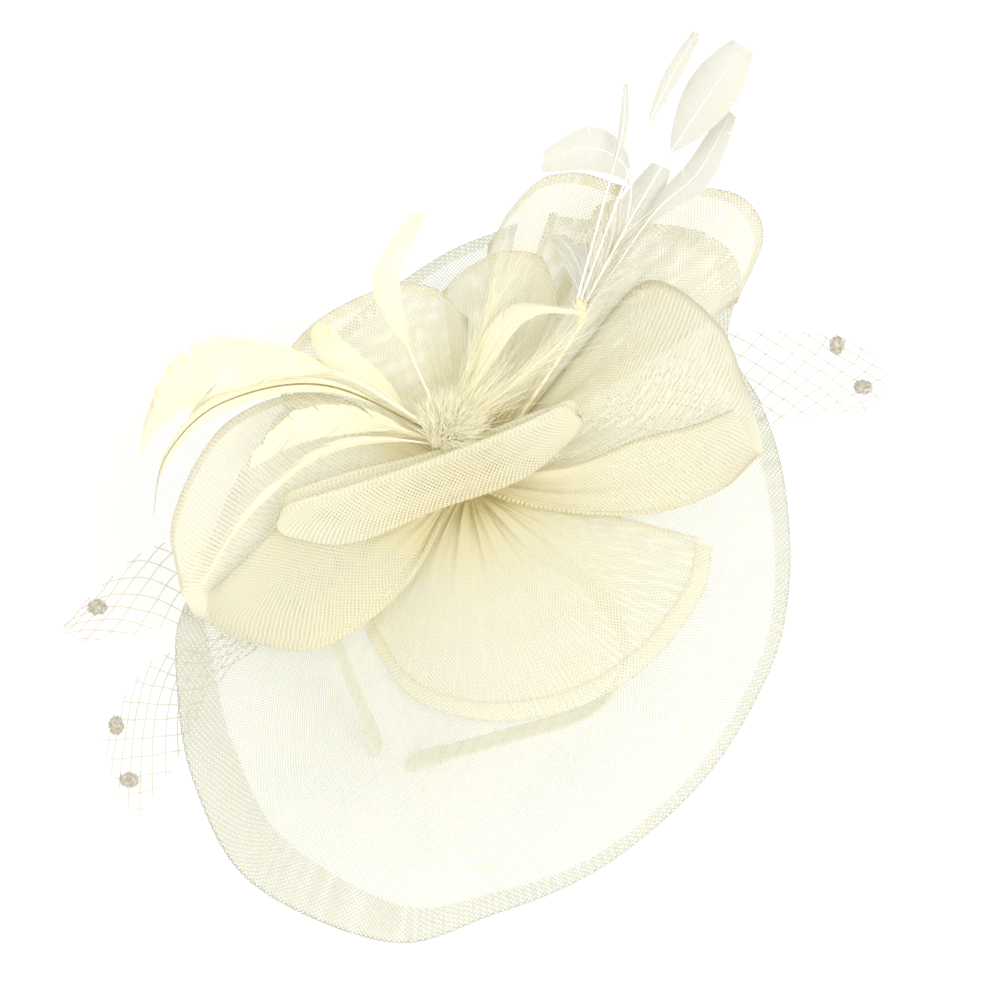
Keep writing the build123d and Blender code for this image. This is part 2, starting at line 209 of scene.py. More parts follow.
CREAM = (0.88, 0.85, 0.68)
CREAM_DEEP = (0.96, 0.86, 0.48)
CREAM_PALE = (0.90, 0.885, 0.76)
PETAL_CREAM = (0.82, 0.79, 0.64)
BRIM_PALE = (0.66, 0.67, 0.55)
BRIM_CREAM = (0.71, 0.70, 0.55)
IVORY = (0.87, 0.855, 0.70)
IVORY_DEEP = (0.89, 0.81, 0.52)
TIP_IVORY = (0.70, 0.695, 0.63)
TIP_DEEP = (0.74, 0.715, 0.60)


def mesh_material(name, pale, mid, deep, thread, pitch=1.3, share=0.4):
    """Stiff open mesh: two crossing sets of round threads with clear gaps between them.

    UVs are in metres on the flat cloth. The crowd attribute says how much the gathers push the
    threads together, and depth how far into the flower the cloth is. Towards the knot the colour
    runs from pale through mid to deep: this is painted shade in the heart of the flower."""
    sh = Shade(name)
    turned = sh.add(
        "Mapping",
        {"Vector": sh.uv(), "Rotation": (0, 0, np.pi / 4), "Scale": (1 / (pitch * MM),) * 3},
    ).outputs[0]
    wander = sh.add("TexNoise", {"Vector": sh.uv(), "Scale": 90.0, "Detail": 1.0}).outputs["Color"]
    drift = sh.add("VectorMath", {0: wander, 1: (0.5, 0.5, 0.5)}, operation="SUBTRACT").outputs[0]
    drift = sh.add("VectorMath", {0: drift, "Scale": 0.5}, operation="SCALE").outputs[0]
    turned = sh.add("VectorMath", {0: turned, 1: drift}, operation="ADD").outputs[0]
    axes = sh.add("SeparateXYZ", {0: turned}).outputs
    crowd = sh.value("crowd")
    half = sh.math("MULTIPLY", crowd, 0.5 * thread / pitch)
    half = sh.math("MINIMUM", half, 0.46)
    covers, heights, tones = [], [], []
    for axis in axes[:2]:
        cell = sh.math("FRACT", axis)
        off = sh.math("ABSOLUTE", sh.math("SUBTRACT", cell, 0.5))
        low, high = sh.math("MULTIPLY", half, 0.8), sh.math("MULTIPLY", half, 1.2)
        covers.append(sh.spread(off, low, high, 1.0, 0.0, smooth=True))
        ratio = sh.math("DIVIDE", off, half)
        heights.append(sh.math("SUBTRACT", 1.0, sh.math("MULTIPLY", ratio, ratio), clamp=True))
        number = sh.math("FLOOR", axis)
        tones.append(
            sh.add("TexWhiteNoise", {"W": number}, noise_dimensions="1D").outputs["Value"]
        )
    alpha = sh.math("MAXIMUM", covers[0], covers[1])
    height = sh.math("MAXIMUM", heights[0], heights[1])
    tone = sh.math("MULTIPLY", sh.math("ADD", tones[0], tones[1]), 0.5)
    # painted shade: the cloth turns deeper and yellower towards the knot, where it lies in the
    # flower's shade
    depth = sh.value("depth")
    colour = sh.mix(sh.spread(depth, 0.0, 0.5), pale, mid)
    colour = sh.mix(sh.spread(depth, 0.5, 1.0), colour, deep)
    cloud = sh.spread(sh.noise(sh.at(), 34.0, 3.0), 0.35, 0.65, 0.0, 0.22)
    colour = sh.mix(cloud, colour, deep)
    colour = sh.mix(sh.math("MULTIPLY", tone, 0.30), colour, (0.84, 0.82, 0.68))
    body = sh.principled(
        Base_Color=colour,
        Roughness=sh.spread(tone, 0.0, 1.0, 0.30, 0.46),
        Sheen_Weight=0.25,
        Sheen_Roughness=0.4,
        Sheen_Tint=(1.0, 0.98, 0.88, 1.0),
        Specular_IOR_Level=0.55,
        Normal=sh.bump(height, 0.25 * MM, 0.7),
    )
    return sh.finish(body, alpha, colour, share)


def feather_material(name, light, deep, gloss=0.45, share=0.4):
    """Vane: fine barbs with a soft sheen, paler at the tips."""
    sh = Shade(name)
    grain = sh.add("Mapping", {"Vector": sh.uv(), "Scale": (2600.0, 160.0, 1.0)}).outputs[0]
    strand = sh.noise(grain, 1.0, 2.0)
    broad = sh.noise(sh.at(), 55.0, 3.0)
    colour = sh.mix(sh.spread(broad, 0.35, 0.7, 0.0, 0.6), light, deep)
    colour = sh.mix(sh.math("MULTIPLY", sh.value("depth"), 0.7), colour, deep)
    colour = sh.mix(sh.spread(strand, 0.4, 0.7, 0.0, 0.35), colour, (0.80, 0.785, 0.70))
    body = sh.principled(
        Base_Color=colour,
        Roughness=sh.spread(strand, 0.3, 0.7, gloss, gloss + 0.2),
        Sheen_Weight=0.5,
        Sheen_Roughness=0.35,
        Specular_IOR_Level=0.4,
        Normal=sh.bump(strand, 0.15 * MM, 0.5),
    )
    return sh.finish(body, None, colour, share)


def quill_material(name, colour_a, colour_b):
    sh = Shade(name)
    streak = sh.add("Mapping", {"Vector": sh.uv(), "Scale": (3.0, 700.0, 1.0)}).outputs[0]
    grain = sh.noise(streak, 1.0, 2.0)
    colour = sh.mix(sh.spread(grain, 0.3, 0.7), colour_a, colour_b)
    body = sh.principled(
        Base_Color=colour, Roughness=sh.spread(grain, 0.3, 0.7, 0.28, 0.42),
        Specular_IOR_Level=0.5, Normal=sh.bump(grain, 0.05 * MM, 0.5),
    )
    return sh.finish(body)


def thread_material(name, dark, light, twist=900.0, share=0.0):
    """Twisted yarn or cord: slanting plies along its length."""
    sh = Shade(name)
    uv = sh.add("SeparateXYZ", {0: sh.uv()}).outputs
    slant = sh.math("ADD", sh.math("MULTIPLY", uv[0], 2.0), sh.math("MULTIPLY", uv[1], twist))
    ply = sh.math("PINGPONG", slant, 1.0)
    fuzz = sh.noise(sh.at(), 900.0, 2.0)
    colour = sh.mix(ply, dark, light)
    colour = sh.mix(sh.spread(fuzz, 0.3, 0.7, 0.0, 0.3), colour, light)
    body = sh.principled(
        Base_Color=colour, Roughness=sh.spread(fuzz, 0.3, 0.7, 0.5, 0.75), Sheen_Weight=0.4,
        Normal=sh.bump(ply, 0.08 * MM, 0.8),
    )
    return sh.finish(body, None, light, share)


def satin_material():
    """Satin ribbon wound on the band: fine weft across it, with painted shade darkening it where
    each turn's edge laps over the turn below.
    """
    sh = Shade("satin_ribbon")
    uv = sh.add("SeparateXYZ", {0: sh.uv()}).outputs
    weft = sh.math("PINGPONG", sh.math("MULTIPLY", uv[1], 2600.0), 1.0)
    warp = sh.math("PINGPONG", sh.math("MULTIPLY", uv[0], 3300.0), 1.0)
    weave = sh.math("ADD", sh.math("MULTIPLY", weft, 0.75), sh.math("MULTIPLY", warp, 0.25))
    broad = sh.noise(sh.at(), 70.0, 3.0)
    colour = sh.mix(sh.spread(broad, 0.3, 0.7), (0.70, 0.66, 0.45), (0.82, 0.79, 0.60))
    colour = sh.mix(sh.math("MULTIPLY", weave, 0.25), colour, (0.94, 0.90, 0.72))
    # painted shade: dark brown along the laps, in the step where each turn stands over the one
    # below
    lap_shade = sh.spread(sh.value("depth"), 0.55, 1.0, 0.0, 0.5)
    colour = sh.mix(lap_shade, colour, (0.55, 0.45, 0.24))
    body = sh.principled(
        Base_Color=colour, Roughness=sh.spread(weave, 0.0, 1.0, 0.26, 0.42),
        Specular_IOR_Level=0.6, Sheen_Weight=0.3, Sheen_Roughness=0.3, Anisotropic=0.6,
        Normal=sh.bump(weave, 0.06 * MM, 0.6),
    )
    return sh.finish(body)


def felt_material():
    sh = Shade("felt")
    fibre = sh.noise(sh.at(), 800.0, 6.0, 0.7)
    clump = sh.noise(sh.at(), 140.0, 3.0)
    colour = sh.mix(sh.spread(clump, 0.3, 0.7), (0.76, 0.68, 0.42), (0.86, 0.80, 0.56))
    colour = sh.mix(sh.spread(fibre, 0.4, 0.7, 0.0, 0.5), colour, (0.95, 0.92, 0.76))
    body = sh.principled(
        Base_Color=colour, Roughness=sh.spread(fibre, 0.3, 0.7, 0.8, 0.98), Sheen_Weight=0.7,
        Sheen_Roughness=0.6, Normal=sh.bump(fibre, 0.5 * MM, 0.8),
    )
    return sh.finish(body)


def chenille_material():
    sh = Shade("chenille")
    tuft = sh.noise(sh.at(), 700.0, 4.0, 0.7)
    colour = sh.mix(sh.spread(tuft, 0.35, 0.65), (0.33, 0.30, 0.22), (0.66, 0.62, 0.50))
    body = sh.principled(
        Base_Color=colour, Roughness=sh.spread(tuft, 0.3, 0.7, 0.75, 0.95), Sheen_Weight=0.8,
        Sheen_Roughness=0.5, Normal=sh.bump(tuft, 0.4 * MM, 0.8),
    )
    return sh.finish(body)


def glue_material():
    sh = Shade("clear_adhesive")
    swirl = sh.noise(sh.at(), 160.0, 3.0)
    colour = sh.mix(swirl, (0.80, 0.74, 0.52), (0.95, 0.93, 0.82))
    body = sh.principled(
        Base_Color=colour, Roughness=sh.spread(swirl, 0.3, 0.7, 0.12, 0.3), Coat_Weight=0.5,
        Coat_Roughness=0.1, Normal=sh.bump(swirl, 0.4 * MM, 0.5),
    )
    return sh.finish(body, None, colour, 0.3)


def floor_material():
    sh = Shade("studio_floor")
    grain = sh.noise(sh.at(), 3.0, 3.0)
    colour = sh.mix(grain, (0.93, 0.93, 0.93), (0.94, 0.94, 0.94))
    body = sh.principled(Base_Color=colour, Roughness=0.9, Specular_IOR_Level=0.1)
    return sh.finish(body)


BRIM_MESH = mesh_material("open_mesh_brim", BRIM_PALE, BRIM_CREAM, CREAM, 0.36, share=0.5)
PETAL_MESH = mesh_material("open_mesh_petal", PETAL_CREAM, CREAM, CREAM_DEEP, 0.50, share=0.5)
LOOP_MESH = mesh_material("open_mesh_loop", CREAM_PALE, CREAM, CREAM_DEEP, 0.50, share=0.5)
HEM_MESH = mesh_material("mesh_hem", CREAM_PALE, CREAM, CREAM_DEEP, 0.44, share=0.5)
FEATHER = feather_material("feather_vane", IVORY, IVORY_DEEP)
TIP_FEATHER = feather_material("feather_vane_spray", TIP_IVORY, TIP_DEEP)
FLUFF = feather_material("marabou_strands", (0.98, 0.97, 0.86), (0.98, 0.95, 0.78), 0.6, 0.65)
TIP_FLUFF = feather_material(
    "spray_down_strands", (0.93, 0.92, 0.86), (0.92, 0.90, 0.80), 0.6, 0.6)
QUILL = quill_material("feather_quill", (0.86, 0.80, 0.56), (0.92, 0.89, 0.72))
TIP_QUILL = quill_material("feather_quill_spray", (0.82, 0.81, 0.72), (0.90, 0.89, 0.82))
# painted shade: a near-black quill stands in for the shadow that runs along arching_feather_2's
# quill
SHADOW_QUILL = quill_material("feather_quill_painted_shade", (0.20, 0.15, 0.06), (0.42, 0.34, 0.16))
NET = thread_material("net_thread", (0.50, 0.465, 0.36), (0.70, 0.665, 0.55), 1400.0)
THREAD = thread_material("sewing_thread", (0.66, 0.56, 0.30), (0.92, 0.86, 0.62))
WIRE = thread_material("covered_wire", (0.70, 0.62, 0.36), (0.88, 0.82, 0.60), 260.0)
SATIN = satin_material()
FELT = felt_material()
CHENILLE = chenille_material()


# ================= mesh building =================
class Soup:
    """Grids of points gathered into one mesh, each with its UVs, two values and a material."""

    def __init__(self):
        self.points, self.uvs, self.faces, self.kinds = [], [], [], []
        self.crowds, self.depths = [], []
        self.count = 0

    def grid(self, points, uv=None, closed=False, kind=0, crowd=None, depth=None):
        """points is (rows, columns, 3), in metres. closed joins the last column to the first."""
        self.grids(points[None], None if uv is None else uv[None], closed, kind,
                   None if crowd is None else crowd[None], None if depth is None else depth[None])

    def grids(self, points, uv=None, closed=False, kind=0, crowd=None, depth=None):
        """Many grids of one size at once: points is (how many, rows, columns, 3)."""
        many, rows, columns = points.shape[:3]
        index = np.arange(many * rows * columns).reshape(many, rows, columns) + self.count
        if closed:
            index = np.concatenate([index, index[:, :, :1]], 2)
        quads = np.stack(
            [index[:, :-1, :-1], index[:, 1:, :-1], index[:, 1:, 1:], index[:, :-1, 1:]], -1
        ).reshape(-1, 4)
        size = many * rows * columns
        self.points.append(points.reshape(-1, 3))
        self.uvs.append(np.zeros((size, 2)) if uv is None else uv.reshape(-1, 2))
        self.crowds.append(np.ones(size) if crowd is None else crowd.reshape(-1))
        self.depths.append(np.zeros(size) if depth is None else depth.reshape(-1))
        self.faces.append(quads)
        self.kinds.append(np.full(len(quads), kind))
        self.count += size

    def piece(self, name, materials, slot, replaces=(), body="ornament"):
        mesh = bpy.data.meshes.new(name)
        faces = np.concatenate(self.faces)
        mesh.from_pydata(np.concatenate(self.points).tolist(), [], faces.tolist())
        mesh.polygons.foreach_set("use_smooth", np.ones(len(faces), bool))
        mesh.polygons.foreach_set("material_index", np.concatenate(self.kinds).astype(np.int32))
        corner = np.empty(len(mesh.loops), np.int32)
        mesh.loops.foreach_get("vertex_index", corner)
        layer = mesh.uv_layers.new(name="UVMap")
        layer.data.foreach_set("uv", np.concatenate(self.uvs)[corner].astype(np.float32).ravel())
        for key, values in (("crowd", self.crowds), ("depth", self.depths)):
            attribute = mesh.attributes.new(key, "FLOAT", "POINT")
            attribute.data.foreach_set("value", np.concatenate(values).astype(np.float32))
        for material in materials:
            mesh.materials.append(material)
        mesh.update()
        piece = bpy.data.objects.new(name, mesh)
        bpy.context.scene.collection.objects.link(piece)
        if body:
            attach(piece, body)
        if replaces:
            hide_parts(*replaces)
        return piece


def curve(points, t):
    """A smooth curve through the points at each t from 0 to 1 (Catmull-Rom)."""
    p = np.asarray(points, float)
    spans = len(p) - 1
    t = np.asarray(t, float)
    i = np.clip((t * spans).astype(int), 0, spans - 1)
    f = (t * spans - i)[..., None]
    p = np.concatenate([[2 * p[0] - p[1]], p, [2 * p[-1] - p[-2]]])
    before, a, b, after = p[i], p[i + 1], p[i + 2], p[i + 3]
    return 0.5 * (
        2 * a + (b - before) * f + (2 * before - 5 * a + 4 * b - after) * f**2
        + (3 * a - before - 3 * b + after) * f**3
    )


def lengths(line_points, axis):
    """How far along each line of points its points are."""
    step = np.linalg.norm(np.diff(line_points, axis=axis), axis=-1)
    total = np.cumsum(step, axis=axis)
    return np.concatenate([np.zeros_like(np.take(total, [0], axis)), total], axis)


def normals(grid):
    down, across = np.gradient(grid, axis=0), np.gradient(grid, axis=1)
    n = np.cross(down, across)
    return n / np.maximum(np.linalg.norm(n, axis=-1, keepdims=True), 1e-9)


def waves(t, counts, rng, sharp=0.0):
    """A sum of waves at those counts over t, at chance phases; sharp makes its folds crisper."""
    total = sum(np.sin(2 * np.pi * (k * t + rng.random())) / (1 + i * 0.35)
                for i, k in enumerate(counts))
    total = total / sum(1 / (1 + i * 0.35) for i in range(len(counts)))
    return np.tanh(total * (1 + sharp)) if sharp else total


def turned_under(grid, width, gap, count=4):
    """Rows past the grid's last: the cloth turned back on itself by width, gap away from it."""
    facing = normals(grid)
    back, along = grid[::-1], facing[::-1]
    run = lengths(back, 0)
    width = np.broadcast_to(width, grid.shape[1])
    rows = []
    for k in range(1, count + 1):
        line = np.empty_like(grid[0])
        reach = width * (k - 0.6) / (count - 0.6)
        for c in range(grid.shape[1]):
            for x in range(3):
                line[c, x] = np.interp(reach[c], run[:, c], back[:, c, x]) + gap * np.interp(
                    reach[c], run[:, c], along[:, c, x])
        rows.append(line)
    return np.concatenate([grid, np.array(rows)])


def cloth(name, grid, material, slot, replaces, sides=None,
          rim=None, gap=0.5, shade_reach=85.0, close=1.0, body="ornament"):
    """A sheet from a grid of points in the flower's frame: rows run out from the knot.

    rim and sides are how far its rim and its two long sides are turned under, in millimetres."""
    if rim is not None:
        grid = turned_under(grid, rim, gap)
    if sides is not None:
        for _ in range(2):
            grid = turned_under(grid.transpose(1, 0, 2), sides, gap).transpose(1, 0, 2)[:, ::-1]
    along = lengths(grid, 0)
    across = lengths(grid, 1)
    widest = np.argmax(across[:, -1])
    u = np.broadcast_to(across[widest], across.shape)
    squeeze = np.gradient(across, axis=1) / np.maximum(np.gradient(u, axis=1), 1e-6)
    squeeze = np.clip(squeeze, 0.12, 1.0)
    crowd = np.clip(np.sqrt((1 + squeeze**2) / 2) / squeeze, 1.0, 3.2)
    # depth is 1 at the knot and falls to 0 at shade_reach; the open mesh paints its shade with it
    near = np.linalg.norm(grid - np.array((0, 0, 8.0)), axis=-1)
    depth = np.clip(1 - near / shade_reach, 0, 1)
    crowd = np.minimum(crowd * close, 3.2)
    soup = Soup()
    soup.grid(place(grid), np.stack([u, along], -1) * MM, crowd=crowd, depth=depth)
    piece = soup.piece(name, [material], slot, replaces, body)
    return piece


def petal(rim, turns, foot_w, rise, crown=0.55, start=0.0, end=1.0, rows=60, cols=140):
    """One open layer from an arc on the core, between two bearings, out to the rim."""
    s = np.linspace(start, end, rows)[:, None]
    t = np.linspace(0, 1, cols)[None, :]
    bearing = np.radians(turns[0] + (turns[1] - turns[0]) * t)
    inside = CORE_R - 1
    foot = np.stack([
        inside * np.cos(bearing), inside * np.sin(bearing), np.full_like(bearing, foot_w)
    ], -1)
    grid = foot + (curve(rim, t) - foot) * s[..., None]
    grid[..., 2] += rise * np.sin(np.pi * s) * (1 - crown + crown * np.sin(np.pi * t))
    return grid


def pocket(front, fold, back, opening=0.0, rows=130, cols=60):
    """A folded ribbon: from its front edge down round the fold and up to its back edge.

    The opening holds the two layers apart at mid length, the front one more than the back."""
    s = np.linspace(0, 1, rows)
    t = np.linspace(0, 1, cols)[None, :, None]
    a, b, c = (curve(edge, s)[:, None] for edge in (front, fold, back))
    grid = a * ((1 - t) * (1 - 2 * t)) + b * (4 * t * (1 - t)) + c * (t * (2 * t - 1))
    apart = np.sin(2 * np.pi * t) * (0.7 + 0.3 * np.cos(np.pi * t))
    grid[..., 2] += opening * np.sin(np.pi * s)[:, None] * apart[..., 0]
    return grid


def gathered(grid, counts, amount, seed, reach, rim, sharp=1.2):
    """The grid with radial folds that swell just out of the knot and die away towards the rim."""
    rng = np.random.default_rng(seed)
    rows, cols = grid.shape[:2]
    s = np.linspace(0, 1, rows)[:, None]
    t = np.linspace(0, 1, cols)[None, :]
    fine = waves(t, counts, rng, sharp)
    broad = waves(t, [max(1.5, counts[0] * 0.3), max(2.5, counts[0] * 0.55)], rng)
    swell = (s / reach) * np.exp(1 - s / reach)
    shift = amount * swell * fine * (1 - s) ** 0.5 + rim * s**2 * broad
    return grid + normals(grid) * shift[..., None]


def frames(points):
    """Two directions square to the line at each of its points, turning as little as they can."""
    ahead = np.gradient(points, axis=0)
    ahead = ahead / np.maximum(np.linalg.norm(ahead, axis=1, keepdims=True), 1e-12)
    side = np.cross(ahead[0], (0.3, 0.5, 0.81))
    first = []
    for a in ahead:
        side = side - a * (side @ a)
        side = side / np.linalg.norm(side)
        first.append(side)
    first = np.array(first)
    return first, np.cross(ahead, first)


def tube(soup, points, radius, sides=6, kind=0):
    """A closed round tube along the points, in metres; radius is one number or one per point."""
    points = np.asarray(points, float)
    radius = np.broadcast_to(np.asarray(radius, float), len(points)).copy()
    points = np.concatenate([points[:1], points, points[-1:]])
    radius = np.concatenate([[radius[0] * 0.02], radius, [radius[-1] * 0.02]])
    a, b = frames(np.concatenate([
        points[:1] * 2 - points[2:3], points[1:-1], points[-1:] * 2 - points[-3:-2]]))
    turn = np.linspace(0, 2 * np.pi, sides, endpoint=False)
    ring = a[:, None] * np.cos(turn)[None, :, None] + b[:, None] * np.sin(turn)[None, :, None]
    run = lengths(points, 0)
    uv = np.stack(np.broadcast_arrays((turn / 2 / np.pi)[None, :], run[:, None]), -1)
    grid = points[:, None] + ring * radius[:, None, None]
    soup.grid(grid, uv, closed=True, kind=kind)


# ================= feathers =================
def feather(name, spine, across, width, bare, seed, quill=QUILL, vane=FEATHER, sweep=0.10,
            ragged=0.35, curl=0.12, spacing=0.5):
    """A quill with barbs: narrow strips that lie side by side and part towards their tips."""
    rng = np.random.default_rng(seed)
    soup = Soup()
    across = np.asarray(across, float)
    fine = np.linspace(0, 1, 60)
    line = curve(spine, fine)
    length = lengths(line, 0)[-1]
    wide = width / 2

    def half(s):
        blade = np.clip((s - bare) / (1 - bare), 0, 1)
        return 0.15 + (wide - 0.15) * np.sin(np.pi * blade * VANE_END) ** 0.8

    def surface(s, tau, lift):
        s = np.clip(s, 0, 1.0)
        reach = half(s)[..., None] * tau[..., None]
        out = np.stack([np.zeros_like(tau), np.zeros_like(tau),
                        -curl * np.abs(half(s) * tau * tau) + lift], -1)
        return place(curve(spine, s) + across * reach + out)

    count = max(16, int(length * (1 - bare) / spacing))
    steps = np.linspace(0, 1, 7)
    for side in (-1, 1):
        start = bare * 0.9 + (1 - bare * 0.9) * np.linspace(0, 0.985, count)
        ds = (1 - bare) / count
        long = 1 + ragged * 0.25 * (rng.random(count) - 0.6)
        tears = np.cumsum(rng.random(count) < 0.03 + 0.06 * ragged)
        tear_shift = rng.normal(0, ragged * 0.035, tears[-1] + 1)[tears]
        tear_lift = rng.normal(0, ragged * 1.2, tears[-1] + 1)[tears]
        lift = rng.normal(0, 0.12, count)
        tau = steps[None, :] * long[:, None]
        room = (1 - start[:, None]) ** 0.4
        lead = start[:, None] + (sweep * tau**1.2) * room + tear_shift[:, None] * tau**2
        narrow = 1 - tau**5 * ragged * (0.3 + 0.6 * rng.random(count)[:, None])
        trail = lead + ds * 1.35 * np.clip(narrow, 0.06, 1)
        z = (lift + tear_lift)[:, None] * tau
        strip = np.stack([surface(lead, side * tau, z), surface(trail, side * tau, z)], 2)
        uv = np.stack([np.stack([lead, trail], 2) * length * MM,
                       np.repeat(tau[..., None], 2, 2) * wide * MM], -1)
        near = np.clip(1 - lead / 0.6, 0, 1) * (1 - 0.5 * tau)
        soup.grids(strip, uv, depth=np.repeat(near[..., None], 2, 2))
    s = np.linspace(0, 0.975, 44)
    stem = place(curve(spine, s) + np.array((0, 0, 0.12)))
    radius = (0.48 - 0.4 * s) * MM
    tube(soup, stem, radius, 6, kind=1)
    return soup.piece(name, [vane, quill], "feather", [name])


def strands(soup, start, ahead, length, width, rng, bend=0.5, steps=8):
    """Loose barbs: thin ribbons from start (n, 3) towards ahead (n, 3), each with its own curl."""
    count = len(start)
    ahead = ahead / np.linalg.norm(ahead, axis=1, keepdims=True)
    stray = rng.normal(size=(count, 3))
    stray -= ahead * (stray * ahead).sum(1, keepdims=True)
    stray /= np.linalg.norm(stray, axis=1, keepdims=True)
    s = np.linspace(0, 1, steps)[None, :, None]
    reach = length[:, None, None]
    line = start[:, None] + ahead[:, None] * reach * s + stray[:, None] * reach * bend * s**2 * (
        rng.random((count, 1, 1)) * 0.8 + 0.1)
    side = np.cross(ahead, stray)[:, None]
    half = width / 2 * (1 - 0.75 * s)
    strip = np.stack([place(line - side * half), place(line + side * half)], 2)
    uv = np.zeros(strip.shape[:3] + (2,))
    uv[..., 0] = rng.random((count, 1, 1)) * 0.1
    uv[..., 1] = s * reach * MM
    soup.grids(strip, uv, depth=np.broadcast_to(1 - s, strip.shape[:3]).copy())


# ================= headband =================
TIP = np.radians(ARC_HALF)
WRAP_PITCH = 7.5       # how far along the band each turn of the ribbon moves
WRAP_STEP = 0.22       # a turn's edge stands this far over the turn below it


def band_line(run, side):
    """Where the band's middle is, and which way is outward, run millimetres from the crown."""
    middle = BAND_R + BAND_T / 2
    angle = np.minimum(run / middle, TIP)
    past = np.maximum(run - middle * TIP, 0)
    outward = np.stack([side * np.sin(angle), np.zeros_like(angle), np.cos(angle)], -1)
    along = np.array((side * np.cos(TIP), 0, -np.sin(TIP)))
    return outward * middle + past[:, None] * along, outward


def band_section(count, half_t, half_w, corner=5.0):
    """A rounded strip's outline: (thickness, width) for each turn of the section."""
    turn = np.linspace(0, 2 * np.pi, count, endpoint=False)
    c, s = np.cos(turn), np.sin(turn)
    size = (np.abs(c) ** corner + np.abs(s) ** corner) ** (-1 / corner)
    return turn, size * c * half_t, size * s * half_w


def wrapped_band(name, side, first, replaces):
    """Half of the band, wound with satin ribbon whose turns lap over each other."""
    middle = BAND_R + BAND_T / 2
    total = middle * TIP + ARM_L
    run = np.arange(first, total, 0.3)
    run = np.append(run, total)
    centre, outward = band_line(run, side)
    turn, thick, wide = band_section(28, BAND_T / 2, BAND_W / 2)
    phase = run[:, None] / WRAP_PITCH - turn[None, :] / (2 * np.pi)
    lap = 1 - np.mod(phase, 1.0)
    lift = WRAP_STEP * (lap ** 1.5 - 0.5) * np.clip((1 - lap) * 12, 0, 1)
    y = np.array((0, 1.0, 0))
    grid = centre[:, None] + (
        outward[:, None] * thick[None, :, None] * (1 + lift[..., None] * 0.9)
        + y * wide[None, :, None] * (1 + lift[..., None] * 0.12)
    )
    rim = np.cumsum(np.hypot(np.gradient(thick), np.gradient(wide)))
    uv = np.stack(np.broadcast_arrays(rim[None, :], run[:, None] + rim[None, :] * 0.4), -1) * MM
    # edge marks the laps between turns, where the satin gets its painted shade
    edge = np.clip(1 - (1 - lap) * 5, 0, 1) + np.clip(1 - lap * 9, 0, 1)
    soup = Soup()
    soup.grid(grid * MM, uv, closed=True, depth=np.clip(edge, 0, 1))
    piece = soup.piece(name, [SATIN], "satin_ribbon", replaces, body=None)
    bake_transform(piece)
    return piece


def end_cap(name, side, body):
    """The wound tip: fine turns of ribbon over the last of the arm, closed over its end."""
    middle = BAND_R + BAND_T / 2
    total = middle * TIP + ARM_L
    run = np.linspace(total - CAP_L, total + 0.5, 150)
    centre, outward = band_line(run, side)
    turn, thick, wide = band_section(28, BAND_T / 2 + 0.42, BAND_W / 2 + 0.42, 4.0)
    ridge = 0.14 * np.abs(np.sin(np.pi * (run[:, None] / 1.9 - turn[None, :] / (2 * np.pi))))
    close = np.clip((run - run[0]) / 0.5, 0.0, 1) ** 0.5 * 0.25 + 0.75
    tip = np.sqrt(np.clip(1 - ((run - total + 0.9) / 1.4).clip(0, 1) ** 2, 0.0, 1))
    y = np.array((0, 1.0, 0))
    grid = centre[:, None] + (
        outward[:, None] * ((thick[None, :] + ridge * np.sign(thick)) * tip[:, None])[..., None]
        * close[:, None, None]
        + y * ((wide[None, :] + ridge * np.sign(wide)) * (0.45 + 0.55 * tip[:, None]))[..., None]
    )
    closing = centre[-1] + np.zeros_like(grid[-1:])
    grid = np.concatenate([grid, closing + y * (grid[-1:, :, 1:2] * 0.02)])
    rim = np.cumsum(np.hypot(np.gradient(thick), np.gradient(wide)))
    run = np.append(run, total + 0.6)
    uv = np.stack(np.broadcast_arrays(rim[None, :], run[:, None]), -1) * MM
    soup = Soup()
    soup.grid(grid * MM, uv, closed=True)
    soup.piece(name, [SATIN], "satin_ribbon", [name], body)


SPLIT = (BAND_R + BAND_T / 2) * np.radians(-PAD_AT)     # the two halves meet under the pad
wrapped_band("band_wrap_left", -1, SPLIT, (
    "band_ribbon_left", "band_steel_left", "band_ribbon_crown", "band_steel_crown"))
wrapped_band("band_wrap_right", 1, -SPLIT, ("band_ribbon_right", "band_steel_right"))
end_cap("end_cap_left", -1, "arm_left")
end_cap("end_cap_right", 1, "arm_right")


# ================= base, knot and bindings =================
def winding(soup, low, high, radius, pitch, thread, kind=0, seed=1):
    """Thread wound round the line from low to high, turn on turn, a little unevenly."""
    rng = np.random.default_rng(seed)
    low, high = place(low), place(high)
    height = np.linalg.norm(high - low)
    turns = max(2.0, height / MM / pitch)
    t = np.linspace(0, 1, int(turns * 22))
    a, b = frames(np.stack([low, (low + high) / 2, high]))
    angle = 2 * np.pi * turns * t
    wobble = 1 + 0.02 * np.sin(angle * 0.37 + rng.random() * 6)
    centre = low + (high - low) * t[:, None]
    ring = a[0] * np.cos(angle)[:, None] + b[0] * np.sin(angle)[:, None]
    tube(soup, centre + ring * (radius * MM * wobble)[:, None], thread * MM, 6, kind)


def lathe(soup, low, high, outline, sides=48, kind=0, wave=None):
    """A turned body from low to high: outline is (share of height, radius) pairs."""
    low, high = place(low), place(high)
    a, b = frames(np.stack([low, (low + high) / 2, high]))
    turn = np.linspace(0, 2 * np.pi, sides, endpoint=False)
    share, radius = np.array(outline, float).T
    ring = a[0] * np.cos(turn)[:, None] + b[0] * np.sin(turn)[:, None]
    reach = radius[:, None] * (1 if wave is None else wave(turn)[None, :])
    grid = low + (high - low) * share[:, None, None] + ring[None] * reach[..., None] * MM
    rise = share * np.linalg.norm(high - low)
    uv = np.stack(np.broadcast_arrays(turn[None, :] * radius.max() * MM, rise[:, None]), -1)
    # depth 1 everywhere: on open mesh, such as the gathered core, this gives the deepest colour,
    # the painted shade at the knot
    soup.grid(grid, uv, closed=True, kind=kind, depth=np.ones(grid.shape[:2]),
              crowd=np.full(grid.shape[:2], 2.6))


